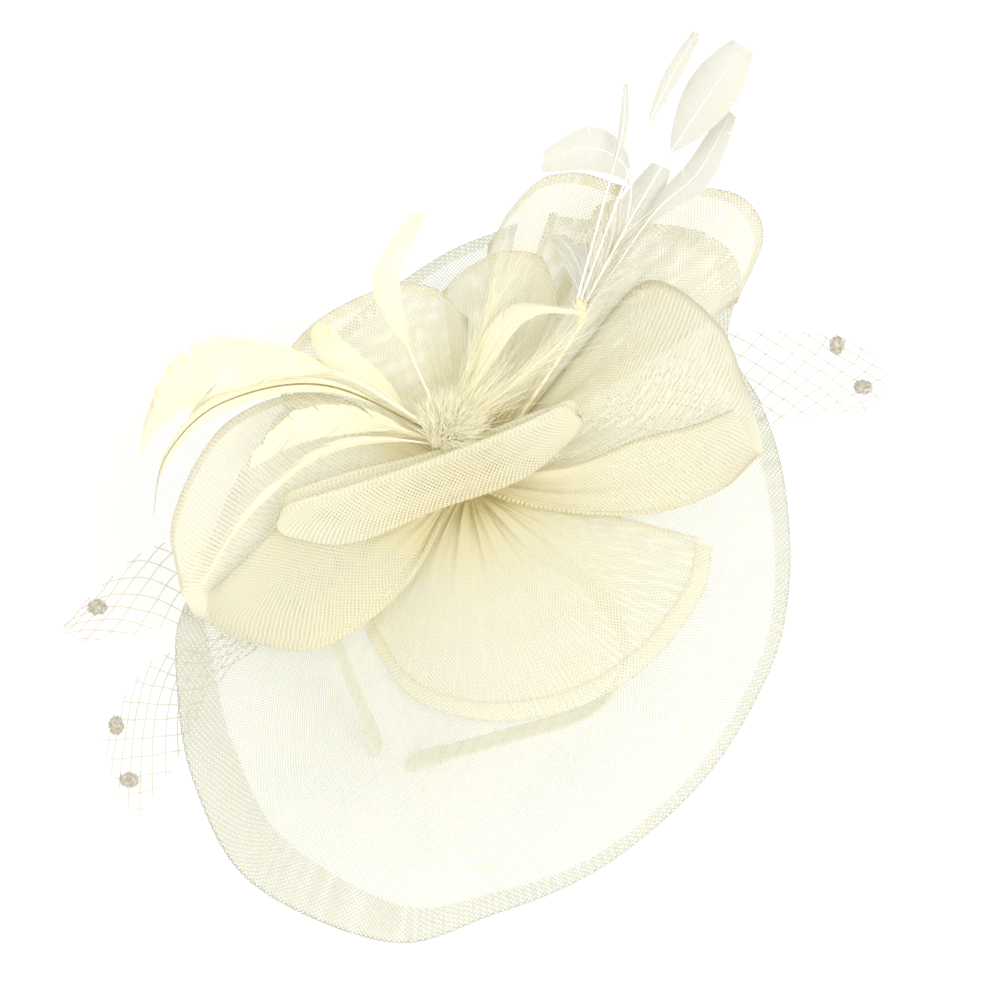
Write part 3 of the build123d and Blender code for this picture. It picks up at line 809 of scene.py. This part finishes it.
# the mesh's bound ends: a tight bundle of folds, crushed where the thread holds it
soup = Soup()
core_out = [(0, 0.3), (0.0, 6.0), (0.06, 8.2), (0.16, 7.2), (0.23, 7.0), (0.3, 7.6), (0.45, 8.4),
            (0.65, 8.8), (0.85, 8.3), (0.96, 6.6), (1.0, 3.2), (1.0, 0.2)]
lathe(soup, (0, 0, CORE_FOOT), (0, 0, CORE_TOP), core_out, 160,
      wave=lambda a: 1 - 0.10 * np.abs(np.sin(a * 9 + np.sin(a * 3)))
      - 0.03 * np.abs(np.sin(a * 23)))
soup.piece("gathered_core", [HEM_MESH], "open_mesh", ["gathered_core"])

soup = Soup()
winding(soup, (0, 0, -3.6), (0, 0, -0.6), 7.75, 0.62, 0.33, seed=5)
winding(soup, (0, 0, -0.7), (0, 0, -3.4), 8.25, 0.95, 0.33, seed=6)
soup.piece("binding_thread", [THREAD], "thread", ["binding_thread"])

soup = Soup()
lathe(soup, STEM_FOOT, STEM_TOP, [(0, 0.2), (0, 2.9), (0.5, 3.0), (0.92, 2.6), (1, 1.6), (1, 0.2)],
      24, kind=1)
winding(soup, STEM_FOOT, (-5, 7, 30.2), 3.1, 0.72, 0.36, seed=7)
winding(soup, (-5, 7, 17), (-5, 7, 28.5), 3.3, 2.3, 0.34, seed=8)
soup.piece("quill_binding", [THREAD, QUILL], "thread", ["quill_binding"])

stem_line = ((5.6, 2, 12), (24, 28, 15.5), (46, 60, 22))
soup = Soup()
t = np.linspace(0, 1, 90)[:, None]
a, b, c = (np.array(p, float) for p in stem_line)
bow = a * (1 - t) ** 2 + (b * 2 - (a + c) / 2) * 2 * t * (1 - t) + c * t**2
tube(soup, place(bow), 0.8 * MM + 0.05 * MM * np.sin(np.arange(90) * 1.9), 10)
soup.piece("spray_wire", [WIRE], "covered_wire", ["spray_wire"])

soup = Soup()
lathe(soup, (45, 61, 21), (46, 63, 34.5),
      [(0, 0.3), (0, 1.6), (0.3, 2.1), (0.8, 2.0), (0.95, 1.5), (1, 0.7), (1, 0.1)], 24)
winding(soup, (45, 61, 21.5), (46, 63, 33.2), 2.2, 0.68, 0.34, seed=9)
soup.piece("spray_binding", [THREAD, QUILL], "thread", ["spray_binding"])

pad_out = np.array((np.sin(np.radians(PAD_AT)), 0, np.cos(np.radians(PAD_AT))))
pad_side = np.array((pad_out[2], 0, -pad_out[0]))
pad_y = np.array((0, 1.0, 0))
pad_foot = pad_out * (BAND_R + BAND_T + GLUE_T) + pad_y * PAD_Y


def base_pad():
    """A felt disc, a little crowned, with its edge drawn in by whip stitches."""
    stitches = 58
    rng = np.random.default_rng(11)
    turn = np.linspace(0, 2 * np.pi, 464, endpoint=False)
    dip = 0.22 * np.cos(turn * stitches)
    outline = [(0.0, 0.5), (0.0, 12), (0.02, 22), (0.05, 24.6), (0.3, 25.7), (0.62, 25.8),
               (0.9, 24.9), (1.0, 23.2), (1.03, 18), (1.06, 10), (1.07, 0.5)]
    share, radius = np.array(outline).T
    reach = radius[:, None] + dip[None, :] * np.clip(radius - 20, 0, 6)[:, None] / 6
    lift = share * PAD_T * 0.93
    dent = 0.10 * np.sin(turn * 5 + 1)[None, :] * (radius[:, None] / 26)
    ring = pad_side * np.cos(turn)[:, None] + pad_y * np.sin(turn)[:, None]
    grid = pad_foot + ring[None] * reach[..., None] + pad_out * (
        lift[:, None, None] + dent[..., None] * (share[:, None, None] > 0.5))
    soup = Soup()
    soup.grid(grid * MM, closed=True)
    soup.piece("base_pad", [FELT], "felt", ["base_pad"])
    soup = Soup()
    for i in range(stitches):
        angle = 2 * np.pi * (i + 0.15 * rng.random()) / stitches + np.pi / stitches
        loop = []
        for k in np.linspace(0, 1, 9):
            across = np.cos(np.pi * k)
            r = 25.75 - 3.0 * abs(across) ** 1.6
            slant = angle + 0.045 * (k - 0.5)
            height = PAD_T * 0.5 * (1 + 1.0584 * across)
            ring_at = pad_side * np.cos(slant) + pad_y * np.sin(slant)
            loop.append(pad_foot + ring_at * (r + 0.2) + pad_out * np.clip(height, 0.05, 3.1))
        tube(soup, np.array(loop) * MM, 0.17 * MM, 5)
    soup.piece("base_pad_stitching", [THREAD], "thread")


base_pad()
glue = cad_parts["band_glue"]
glue.data.materials.clear()
glue.data.materials.append(glue_material())


# ================= brim =================
BRIM_RIM = (
    (18, 112, -3), (-14, 96, -3), (-44, 75, -4), (-72, 36, -4), (-94, -2, -4), (-110, -44, -5),
    (-114, -72, -6), (-107, -119, -7), (-84, -160, -8), (-32, -183, -9), (8, -172, -8),
    (52, -152, -7), (90, -116, -6), (114, -74, -5), (122, -40, -4), (121, 2, -4),
    (112, 36, -4), (99, 62, -4), (104, 92, -3), (88, 108, -3), (56, 112, -3), (30, 116, -3),
)
BRIM_TURNS = (80.0, 437.0)


def brim():
    """The big strip, gathered all round the knot; its rim is turned under, most at the left."""
    cols = 420
    grid = petal(BRIM_RIM, BRIM_TURNS, 3.0, 4.5, crown=0, rows=84, cols=cols)
    grid = gathered(grid, (26, 41, 67), 1.9, 21, reach=0.16, rim=1.6, sharp=1.6)
    bearing = np.linspace(BRIM_TURNS[0], BRIM_TURNS[1], cols)
    left = np.exp(-(((bearing - 207) / 34) ** 2))
    right = np.exp(-(((bearing - 372) / 40) ** 2))
    return cloth("brim_mesh", grid, BRIM_MESH, "open_mesh", ["brim_mesh"],
                 rim=5.0 + 19.0 * left + 5.0 * right, gap=-0.9, sides=3.0, shade_reach=75.0)


brim()


# ================= petals and loops =================
FRONT_RIM = (
    (-40, -60, 5), (-22, -89, 9), (9, -100, 11), (44, -94, 11), (71, -75, 10), (90, -47, 9),
    (94, -25, 7),
)
FRONT = dict(turns=(236.0, 345.0), foot_w=7.0, rise=11.0, crown=0.8)


def front_petal():
    """The broad lower petal, its last part a doubled hem held by a line of stitches."""
    whole = petal(FRONT_RIM, rows=120, cols=200, **FRONT)
    whole = gathered(whole, (5, 8, 14), 1.9, 31, reach=0.11, rim=0.9, sharp=1.0)
    cut = int(round(120 * (1 - HEM_SHARE)))
    hem = whole[cut - 1:]
    thick = np.concatenate([hem, hem[::-1] - np.array((0, 0, 0.9))])
    hem_piece = cloth("front_petal_hem", thick, HEM_MESH, "mesh_hem", ["front_petal_hem"],
                      shade_reach=110.0)
    line = whole[cut + 1] + np.array((0, 0, 0.25))
    run = lengths(line, 0)
    soup = Soup()
    for low in np.arange(2.0, run[-1] - 3.0, 3.0):
        at = np.linspace(low, low + 1.9, 6)
        stitch = np.stack([np.interp(at, run, line[:, x]) for x in range(3)], -1)
        stitch[:, 2] += 0.28 * np.sin(np.linspace(0, np.pi, 6))
        tube(soup, place(stitch), 0.13 * MM, 5)
    stitching = soup.piece("front_petal_stitching", [THREAD], "thread")
    cloth("front_petal", whole[:cut + 1], PETAL_MESH, "open_mesh", ["front_petal"],
          sides=3.0, gap=-0.5, shade_reach=110.0)


front_petal()

POCKETS = {
    "left_pocket": (
        ((-8, -4, 14.5), (-51.4, -9, 21), (-66.4, -20, 22), (-86.5, -40.6, 21.5),
         (-97, -49.5, 17.5)),
        ((-6.5, -9, 11), (-24, -46, 14), (-56, -69, 10), (-86, -66, 8), (-103, -57, 9)),
        ((-8, 5, 16.5), (-52, 30, 21), (-90, 17, 26), (-111, -22, 26), (-109, -49, 20.5)),
        4.5,
    ),
    "right_pocket": (
        ((8, -1, 15), (41, 0, 22), (68, 9, 28), (90, 15, 28), (104, 22, 26)),
        ((6, -6, 12), (40, -11, 14), (72, -11, 12), (98, -5, 12), (114, 8, 14)),
        ((6, 7, 8), (44, 52, 15), (71, 77, 22), (98, 58, 26), (109, 32, 26)),
    ),
    "boat_loop": (
        ((43, 21, 37), (20, 9, 38), (-12, -4, 38), (-45, -14, 35), (-69, -20, 32)),
        ((47, 14, 26), (24, -5, 23), (-10, -18, 22), (-44, -32, 22), (-72, -30, 26)),
        ((45, 26, 30), (24, 17, 31), (-10, 4, 29), (-44, -5, 29), (-70, -14, 28)),
    ),
}
POCKET_FOLDS = {
    "left_pocket": dict(counts=(5, 8, 13), amount=1.8, seed=41, reach=0.10, rim=0.5),
    "right_pocket": dict(counts=(5, 9, 14), amount=2.6, seed=42, reach=0.14, rim=1.8),
    "boat_loop": dict(counts=(2, 3, 5), amount=0.7, seed=43, reach=0.5, rim=0.5),
}
ENDS = {"boat_loop": 0.07}       # the share of its length over which a loop rounds off
# how far out from the knot a piece's painted shade, its deeper colour, reaches
KNOT_SHADE_REACH = {"boat_loop": 40.0}      # how far out from the knot its deeper colour reaches


def rounded_ends(grid, share):
    """The ribbon drawn in to a round tip at both ends."""
    s = np.linspace(0, 1, len(grid))
    inset = np.clip((share - np.minimum(s, 1 - s)) / share, 0, 1)
    keep = np.sqrt(np.clip(1 - inset**3, 0.0, 1))[:, None, None] * 0.9 + 0.1
    middle = grid.mean(1, keepdims=True)
    return middle + (grid - middle) * keep


for name, edges in POCKETS.items():
    grid = gathered(pocket(*edges), **POCKET_FOLDS[name])
    if name in ENDS:
        grid = rounded_ends(grid, ENDS[name])
    cloth(name, grid, LOOP_MESH if name in ENDS else PETAL_MESH, "open_mesh", [name],
          sides=3.5, gap=0.45, shade_reach=KNOT_SHADE_REACH.get(name, 95.0), close=1.25)

PETALS = {
    "upper_left_petal": (
        ((-69, 26, 14), (-72, 40, 18), (-58, 58, 24), (-32, 71, 28), (-12, 72, 28), (2, 60, 24)),
        dict(turns=(158.0, 112.0), foot_w=13.0, rise=-3.0), 4.0,
    ),
    "top_petal": (
        ((-9, 76, 14), (1, 85, 17), (17, 89, 22), (31, 84, 27), (37, 64, 30), (37, 46, 31)),
        dict(turns=(100.0, 56.0), foot_w=10.5, rise=-2.0), 3.0,
    ),
    "back_left_lobe": (
        ((8, 98, 9), (22, 117, 13), (40, 125, 16), (62, 119, 15)),
        dict(turns=(90.0, 72.0), foot_w=6.0, rise=1.0), 5.0,
    ),
    "back_right_lobe": (
        ((50, 115, 7), (84, 120, 13), (106, 115, 15), (115, 98, 15), (104, 72, 12)),
        dict(turns=(66.0, 36.0), foot_w=6.0, rise=1.0), 5.0,
    ),
}
for number, (name, (rim, shape, hem)) in enumerate(PETALS.items()):
    grid = gathered(petal(rim, **shape), (6, 10, 17), 1.8, 51 + number, reach=0.2, rim=1.2)
    cloth(name, grid, PETAL_MESH, "open_mesh", [name], rim=hem, sides=3.0,
          gap=-0.5, shade_reach=105.0)


# ================= feathers =================
SIDEWAYS = (0.15, 0.95, 0.25)
FEATHERS = (
    ("arching_feather_1", ((-5, 8, 30), (-46, 29, 46), (-87, 31, 50), (-111, 22, 44),
                           (-122, 6, 36)), SIDEWAYS, 26, 0.25, 0.45),
    ("arching_feather_2", ((-5, 8, 28.2), (-50, 25, 42), (-90, 18, 42), (-113, 0, 32),
                           (-120, -20, 18)), SIDEWAYS, 9, 0.1, 0.3),
    ("arching_feather_3", ((-5, 8, 26.4), (-42, 30, 36), (-70, 31, 41), (-96, 21, 39),
                           (-109, 5, 31)), SIDEWAYS, 8, 0.2, 0.4),
    ("arching_feather_4", ((-5, 8, 24.6), (-36, 14, 34), (-62, 10, 37), (-80, -2, 34)),
     SIDEWAYS, 14, 0.15, 0.5),
    ("arching_feather_5", ((-5, 8, 22.6), (-32, 7, 32), (-56, 0, 33), (-82, -24, 32),
                           (-101, -52, 26)), SIDEWAYS, 5, 0.1, 0.3),
    ("upright_feather", ((-5, 9, 32), (-17, 36, 48), (-24, 58, 68), (-10, 80, 82)),
     (0.95, 0.1, 0.2), 12, 0.35, 0.3),
    ("curl_feather_left", ((-5, 8, 20.8), (-30, 28, 29), (-48, 42, 35), (-56, 52, 35)),
     (0.5, 0.85, 0.1), 13, 0.1, 0.5),
    ("curl_feather_right", ((-4, 8, 19), (8, 36, 34), (24, 56, 41), (46, 56, 42)),
     (0.8, -0.5, 0.1), 11, 0.1, 0.35),
    ("spray_feather_1", ((46, 62, 28), (64, 92, 38), (66, 112, 48), (52, 119, 53), (34, 114, 52)),
     (0.2, 0.9, 0.4), 17, 0.4, 0.1),
    ("spray_feather_2", ((47, 63, 29.5), (72, 101, 46), (94, 130, 60), (113, 154, 70)),
     (0.8, -0.6, 0.1), 21, 0.5, 0.1),
    ("spray_feather_3", ((48, 62, 27), (74, 97, 37), (93, 112, 45), (107, 133, 55)),
     (0.6, -0.8, 0.1), 13, 0.25, 0.15),
    ("spray_feather_4", ((46, 64, 31.5), (68, 110, 54), (82, 136, 66), (96, 158, 74)),
     (0.8, -0.5, 0.1), 7, 0.5, 0.25),
    ("spray_feather_5", ((45, 64, 33), (60, 104, 54), (66, 122, 62), (68, 139, 68)),
     (0.9, -0.2, 0.1), 4, 0.35, 0.3),
    ("spray_feather_6", ((47, 61, 25), (58, 84, 31), (66, 98, 33), (78, 118, 38)),
     (0.9, -0.4, 0.1), 17, 0.1, 0.35),
    ("spray_feather_7", ((44, 62, 24), (46, 76, 24), (42, 88, 24), (36, 96, 22)),
     (0.9, 0.1, 0.1), 12, 0.1, 0.5),
)
for number, (name, spine, across, width, bare, ragged) in enumerate(FEATHERS):
    vane, stem = (TIP_FEATHER, TIP_QUILL) if name.startswith("spray") else (FEATHER, QUILL)
    # arching_feather_2 takes the dark quill: painted shade along its shadow side
    if name == "arching_feather_2":
        stem = SHADOW_QUILL
    feather(name, spine, across, width, bare, 100 + number, vane=vane, quill=stem, ragged=ragged)


# ================= marabou =================
def marabou_puff():
    """A tuft of down over the quills' bound ends: barbs of many lengths, thickest at its foot."""
    rng = np.random.default_rng(200)
    soup = Soup()
    foot = np.array((-5.0, 10.0, 31.0))
    count = 1900
    around = rng.random(count) * 2 * np.pi
    lean = rng.random(count) ** 0.6 * 1.45
    ahead = np.stack([np.cos(around) * np.sin(lean), np.sin(around) * np.sin(lean),
                      np.cos(lean)], -1)
    start = foot + ahead * np.array((7.4, 6.0, 5.5))
    combed = ahead * 0.5 + np.array((0.42, 0.5, 0.16)) + 0.15 * rng.normal(size=(count, 3))
    long = 5.0 + 8.0 * rng.random(count)
    strands(soup, start, combed, long, 0.62, rng, bend=0.9)
    lathe(soup, foot - np.array((0, 0, 2.0)), foot + np.array((0.5, 0.5, 6.5)),
          [(0, 0.3), (0.1, 5.8), (0.4, 8.0), (0.7, 7.0), (0.92, 3.8), (1, 0.3)], 40,
          wave=lambda a: 1 + 0.08 * np.sin(a * 5) + 0.05 * np.sin(a * 11))
    count = 260
    ahead = np.stack([0.55 + 0.35 * rng.random(count), 0.8 + 0.3 * rng.normal(size=count),
                      0.16 + 0.22 * rng.random(count)], -1)
    start = foot + rng.normal(size=(count, 3)) * np.array((3.0, 2.4, 1.6))
    strands(soup, start, ahead, 18 + 26 * rng.random(count), 0.38, rng, bend=0.35)
    soup.piece("marabou_puff", [FLUFF], "marabou", ["marabou_puff"])


marabou_puff()


def wisps(name, seed, foot, tip, count, spread, long, width=0.3, down=FLUFF):
    """A loose plume: barbs leaving a line from foot to tip at a narrow angle."""
    rng = np.random.default_rng(seed)
    soup = Soup()
    foot, tip = np.array(foot, float), np.array(tip, float)
    way = unit(tip - foot)
    share = rng.random(count)
    start = foot + (tip - foot) * share[:, None] * 0.75
    stray = rng.normal(size=(count, 3)) * spread
    strands(soup, start, way + stray, long * (0.6 + 0.6 * rng.random(count)), width, rng, bend=0.3)
    line = foot + (tip - foot) * np.linspace(0, 0.9, 20)[:, None]
    tube(soup, place(line), np.linspace(0.35, 0.08, 20) * MM, 6, kind=1)
    soup.piece(name, [down, QUILL], "marabou")


wisps("marabou_wisps_back", 210, (-5, 10, 31), (16, 72, 36), 170, 0.16, 34)
wisps("marabou_wisps_right", 211, (-4, 9, 31), (46, 48, 41), 150, 0.14, 32)
wisps("marabou_wisps_left", 212, (-7, 8, 27), (-58, 18, 36), 120, 0.13, 26)
wisps("spray_down", 213, (46, 61, 27), (66, 98, 38), 800, 0.42, 21, down=TIP_FLUFF)


# ================= veiling =================
CELL = 8.6             # the side of the net's diamonds
NET_R = 0.21
VEILS = {
    "veil_left_upper": (
        ((-6, 1, 1), (-50, -4, 0), (-90, -18, -6), (-124, -24, -2), (-157, -55, -3)),
        ((-6, -0.5, 1), (-50, -10, 0), (-90, -30, -7), (-122, -38, -4), (-156, -58, -4)),
        ((-6, -2, 1), (-50, -16, 0), (-90, -44, -8), (-116, -54, -7), (-150, -62, -5)),
    ),
    "veil_left_lower": (
        ((-5, -3.4, 1), (-50, -24, 0), (-98, -54, -12), (-126, -68, -14), (-143, -96, -15)),
        ((-4.4, -4.1, 1), (-48, -30, 0), (-98, -64, -13), (-122, -86, -15), (-139, -114, -16)),
        ((-3.6, -4.8, 1), (-46, -36, 0), (-98, -74, -14), (-112, -100, -17), (-130, -130, -17)),
    ),
    "veil_right": (
        ((5, 3.4, 1), (50, 36, -1), (90, 66, -10), (124, 67, -5), (148, 62, 0)),
        ((5.5, 2.4, 1), (52, 26, -1), (94, 46, -10), (128, 49, -6), (160, 46, -1)),
        ((5.9, 1.3, 1), (54, 16, -1), (96, 28, -11), (126, 32, -7), (152, 33, -4)),
    ),
}
DOTS = {
    "veil_dot_left": ((-144, -48, -3), (-138, -92, -15), (-133, -114, -16)),
    "veil_dot_right": ((141, 60, -2), (151, 43, -3)),
}


def net(name, edges, seed):
    """Diamond net of fine cord over a fan: two sets of threads, knotted where they cross."""
    rng = np.random.default_rng(seed)
    grid = pocket(*edges, rows=200, cols=60)
    long = float(lengths(grid, 0)[-1].mean())
    wide = float(lengths(grid, 1)[:, -1].max()) * 1.15
    soup = Soup()
    lean = 0.75                                    # across for each step along
    step = CELL * 1.05
    count = int((long * lean + wide) / step) + 2
    for way in (1, -1):
        for i in range(-1, count + 1):
            offset = (i + 0.05 * rng.random()) * step
            x = np.linspace(0, long, 130)
            y = offset - lean * x if way > 0 else offset - lean * (long - x)
            inside = (y >= -0.5) & (y <= wide + 0.5)
            if inside.sum() < 4:
                continue
            x, y = x[inside], np.clip(y[inside], 0, wide)
            row = x / long * (grid.shape[0] - 1)
            col = y / wide * (grid.shape[1] - 1)
            r0 = np.clip(row.astype(int), 0, grid.shape[0] - 2)
            c0 = np.clip(col.astype(int), 0, grid.shape[1] - 2)
            fr, fc = (row - r0)[:, None], (col - c0)[:, None]
            line = (grid[r0, c0] * (1 - fr) * (1 - fc) + grid[r0 + 1, c0] * fr * (1 - fc)
                    + grid[r0, c0 + 1] * (1 - fr) * fc + grid[r0 + 1, c0 + 1] * fr * fc)
            sag = 0.5 * np.sin(np.pi * x / CELL * way)[:, None] * np.array((0, 0, 1.0))
            line = line + sag + rng.normal(0, 0.25, 3)
            tube(soup, place(line), NET_R * MM, 5)
    soup.piece(name, [NET], "net", [name])


for number, (name, edges) in enumerate(VEILS.items()):
    net(name, edges, 300 + number)


def dot(name, centre, seed):
    """A chenille dot: a small oval of pile with its tufts standing out."""
    rng = np.random.default_rng(seed)
    soup = Soup()
    stretch = np.array((1.12, 0.86, 0.80)) if seed % 2 else np.array((0.84, 1.12, 0.80))
    v = np.linspace(0, np.pi, 22)
    h = np.linspace(0, 2 * np.pi, 30, endpoint=False)
    ball = np.stack([np.sin(v)[:, None] * np.cos(h), np.sin(v)[:, None] * np.sin(h),
                     np.broadcast_to(np.cos(v)[:, None], (22, 30))], -1)
    lump = 1 + 0.07 * np.sin(ball[..., :1] * 7 + seed) * np.sin(ball[..., 1:2] * 9)
    body = np.array(centre) + ball * stretch * lump * (DOT_R * 0.88)
    soup.grid(place(body), closed=True)
    count = 620
    ahead = rng.normal(size=(count, 3))
    ahead /= np.linalg.norm(ahead, axis=1, keepdims=True)
    start = np.array(centre) + ahead * stretch * DOT_R * 0.8
    strands(soup, start, ahead, 0.7 + 0.6 * rng.random(count), 0.22, rng, bend=0.5, steps=4)
    soup.piece(name, [CHENILLE], "chenille", [name])


for side, centres in DOTS.items():
    for number, centre in enumerate(centres, 1):
        dot(f"{side}_{number}", centre, 400 + number + (0 if side.endswith("left") else 3))


# ================= stage =================
def make_floor():
    low = CAD_BOX[0][2] - 0.4 * MM
    size = 9.0
    mesh = bpy.data.meshes.new("studio_floor")
    corners = [(-size, -size, low), (size, -size, low), (size, size, low), (-size, size, low)]
    mesh.from_pydata(corners, [], [(0, 1, 2, 3)])
    mesh.materials.append(floor_material())
    floor = bpy.data.objects.new("studio_floor", mesh)
    bpy.context.scene.collection.objects.link(floor)


def make_world():
    world = bpy.data.worlds.new("studio")
    world.use_nodes = True
    world.node_tree.nodes["Background"].inputs[0].default_value = (1.0, 1.0, 1.0, 1.0)
    world.node_tree.nodes["Background"].inputs[1].default_value = 0.95
    bpy.context.scene.world = world


make_floor()
make_world()
make_light("key", (0.5, -1.0, 1.6), 1.1, 20.0)
make_light("fill", (-1.3, -0.8, 1.3), 1.2, 9.0)
bpy.context.scene.view_settings.view_transform = "Standard"
bpy.context.scene.cycles.transparent_max_bounces = 40
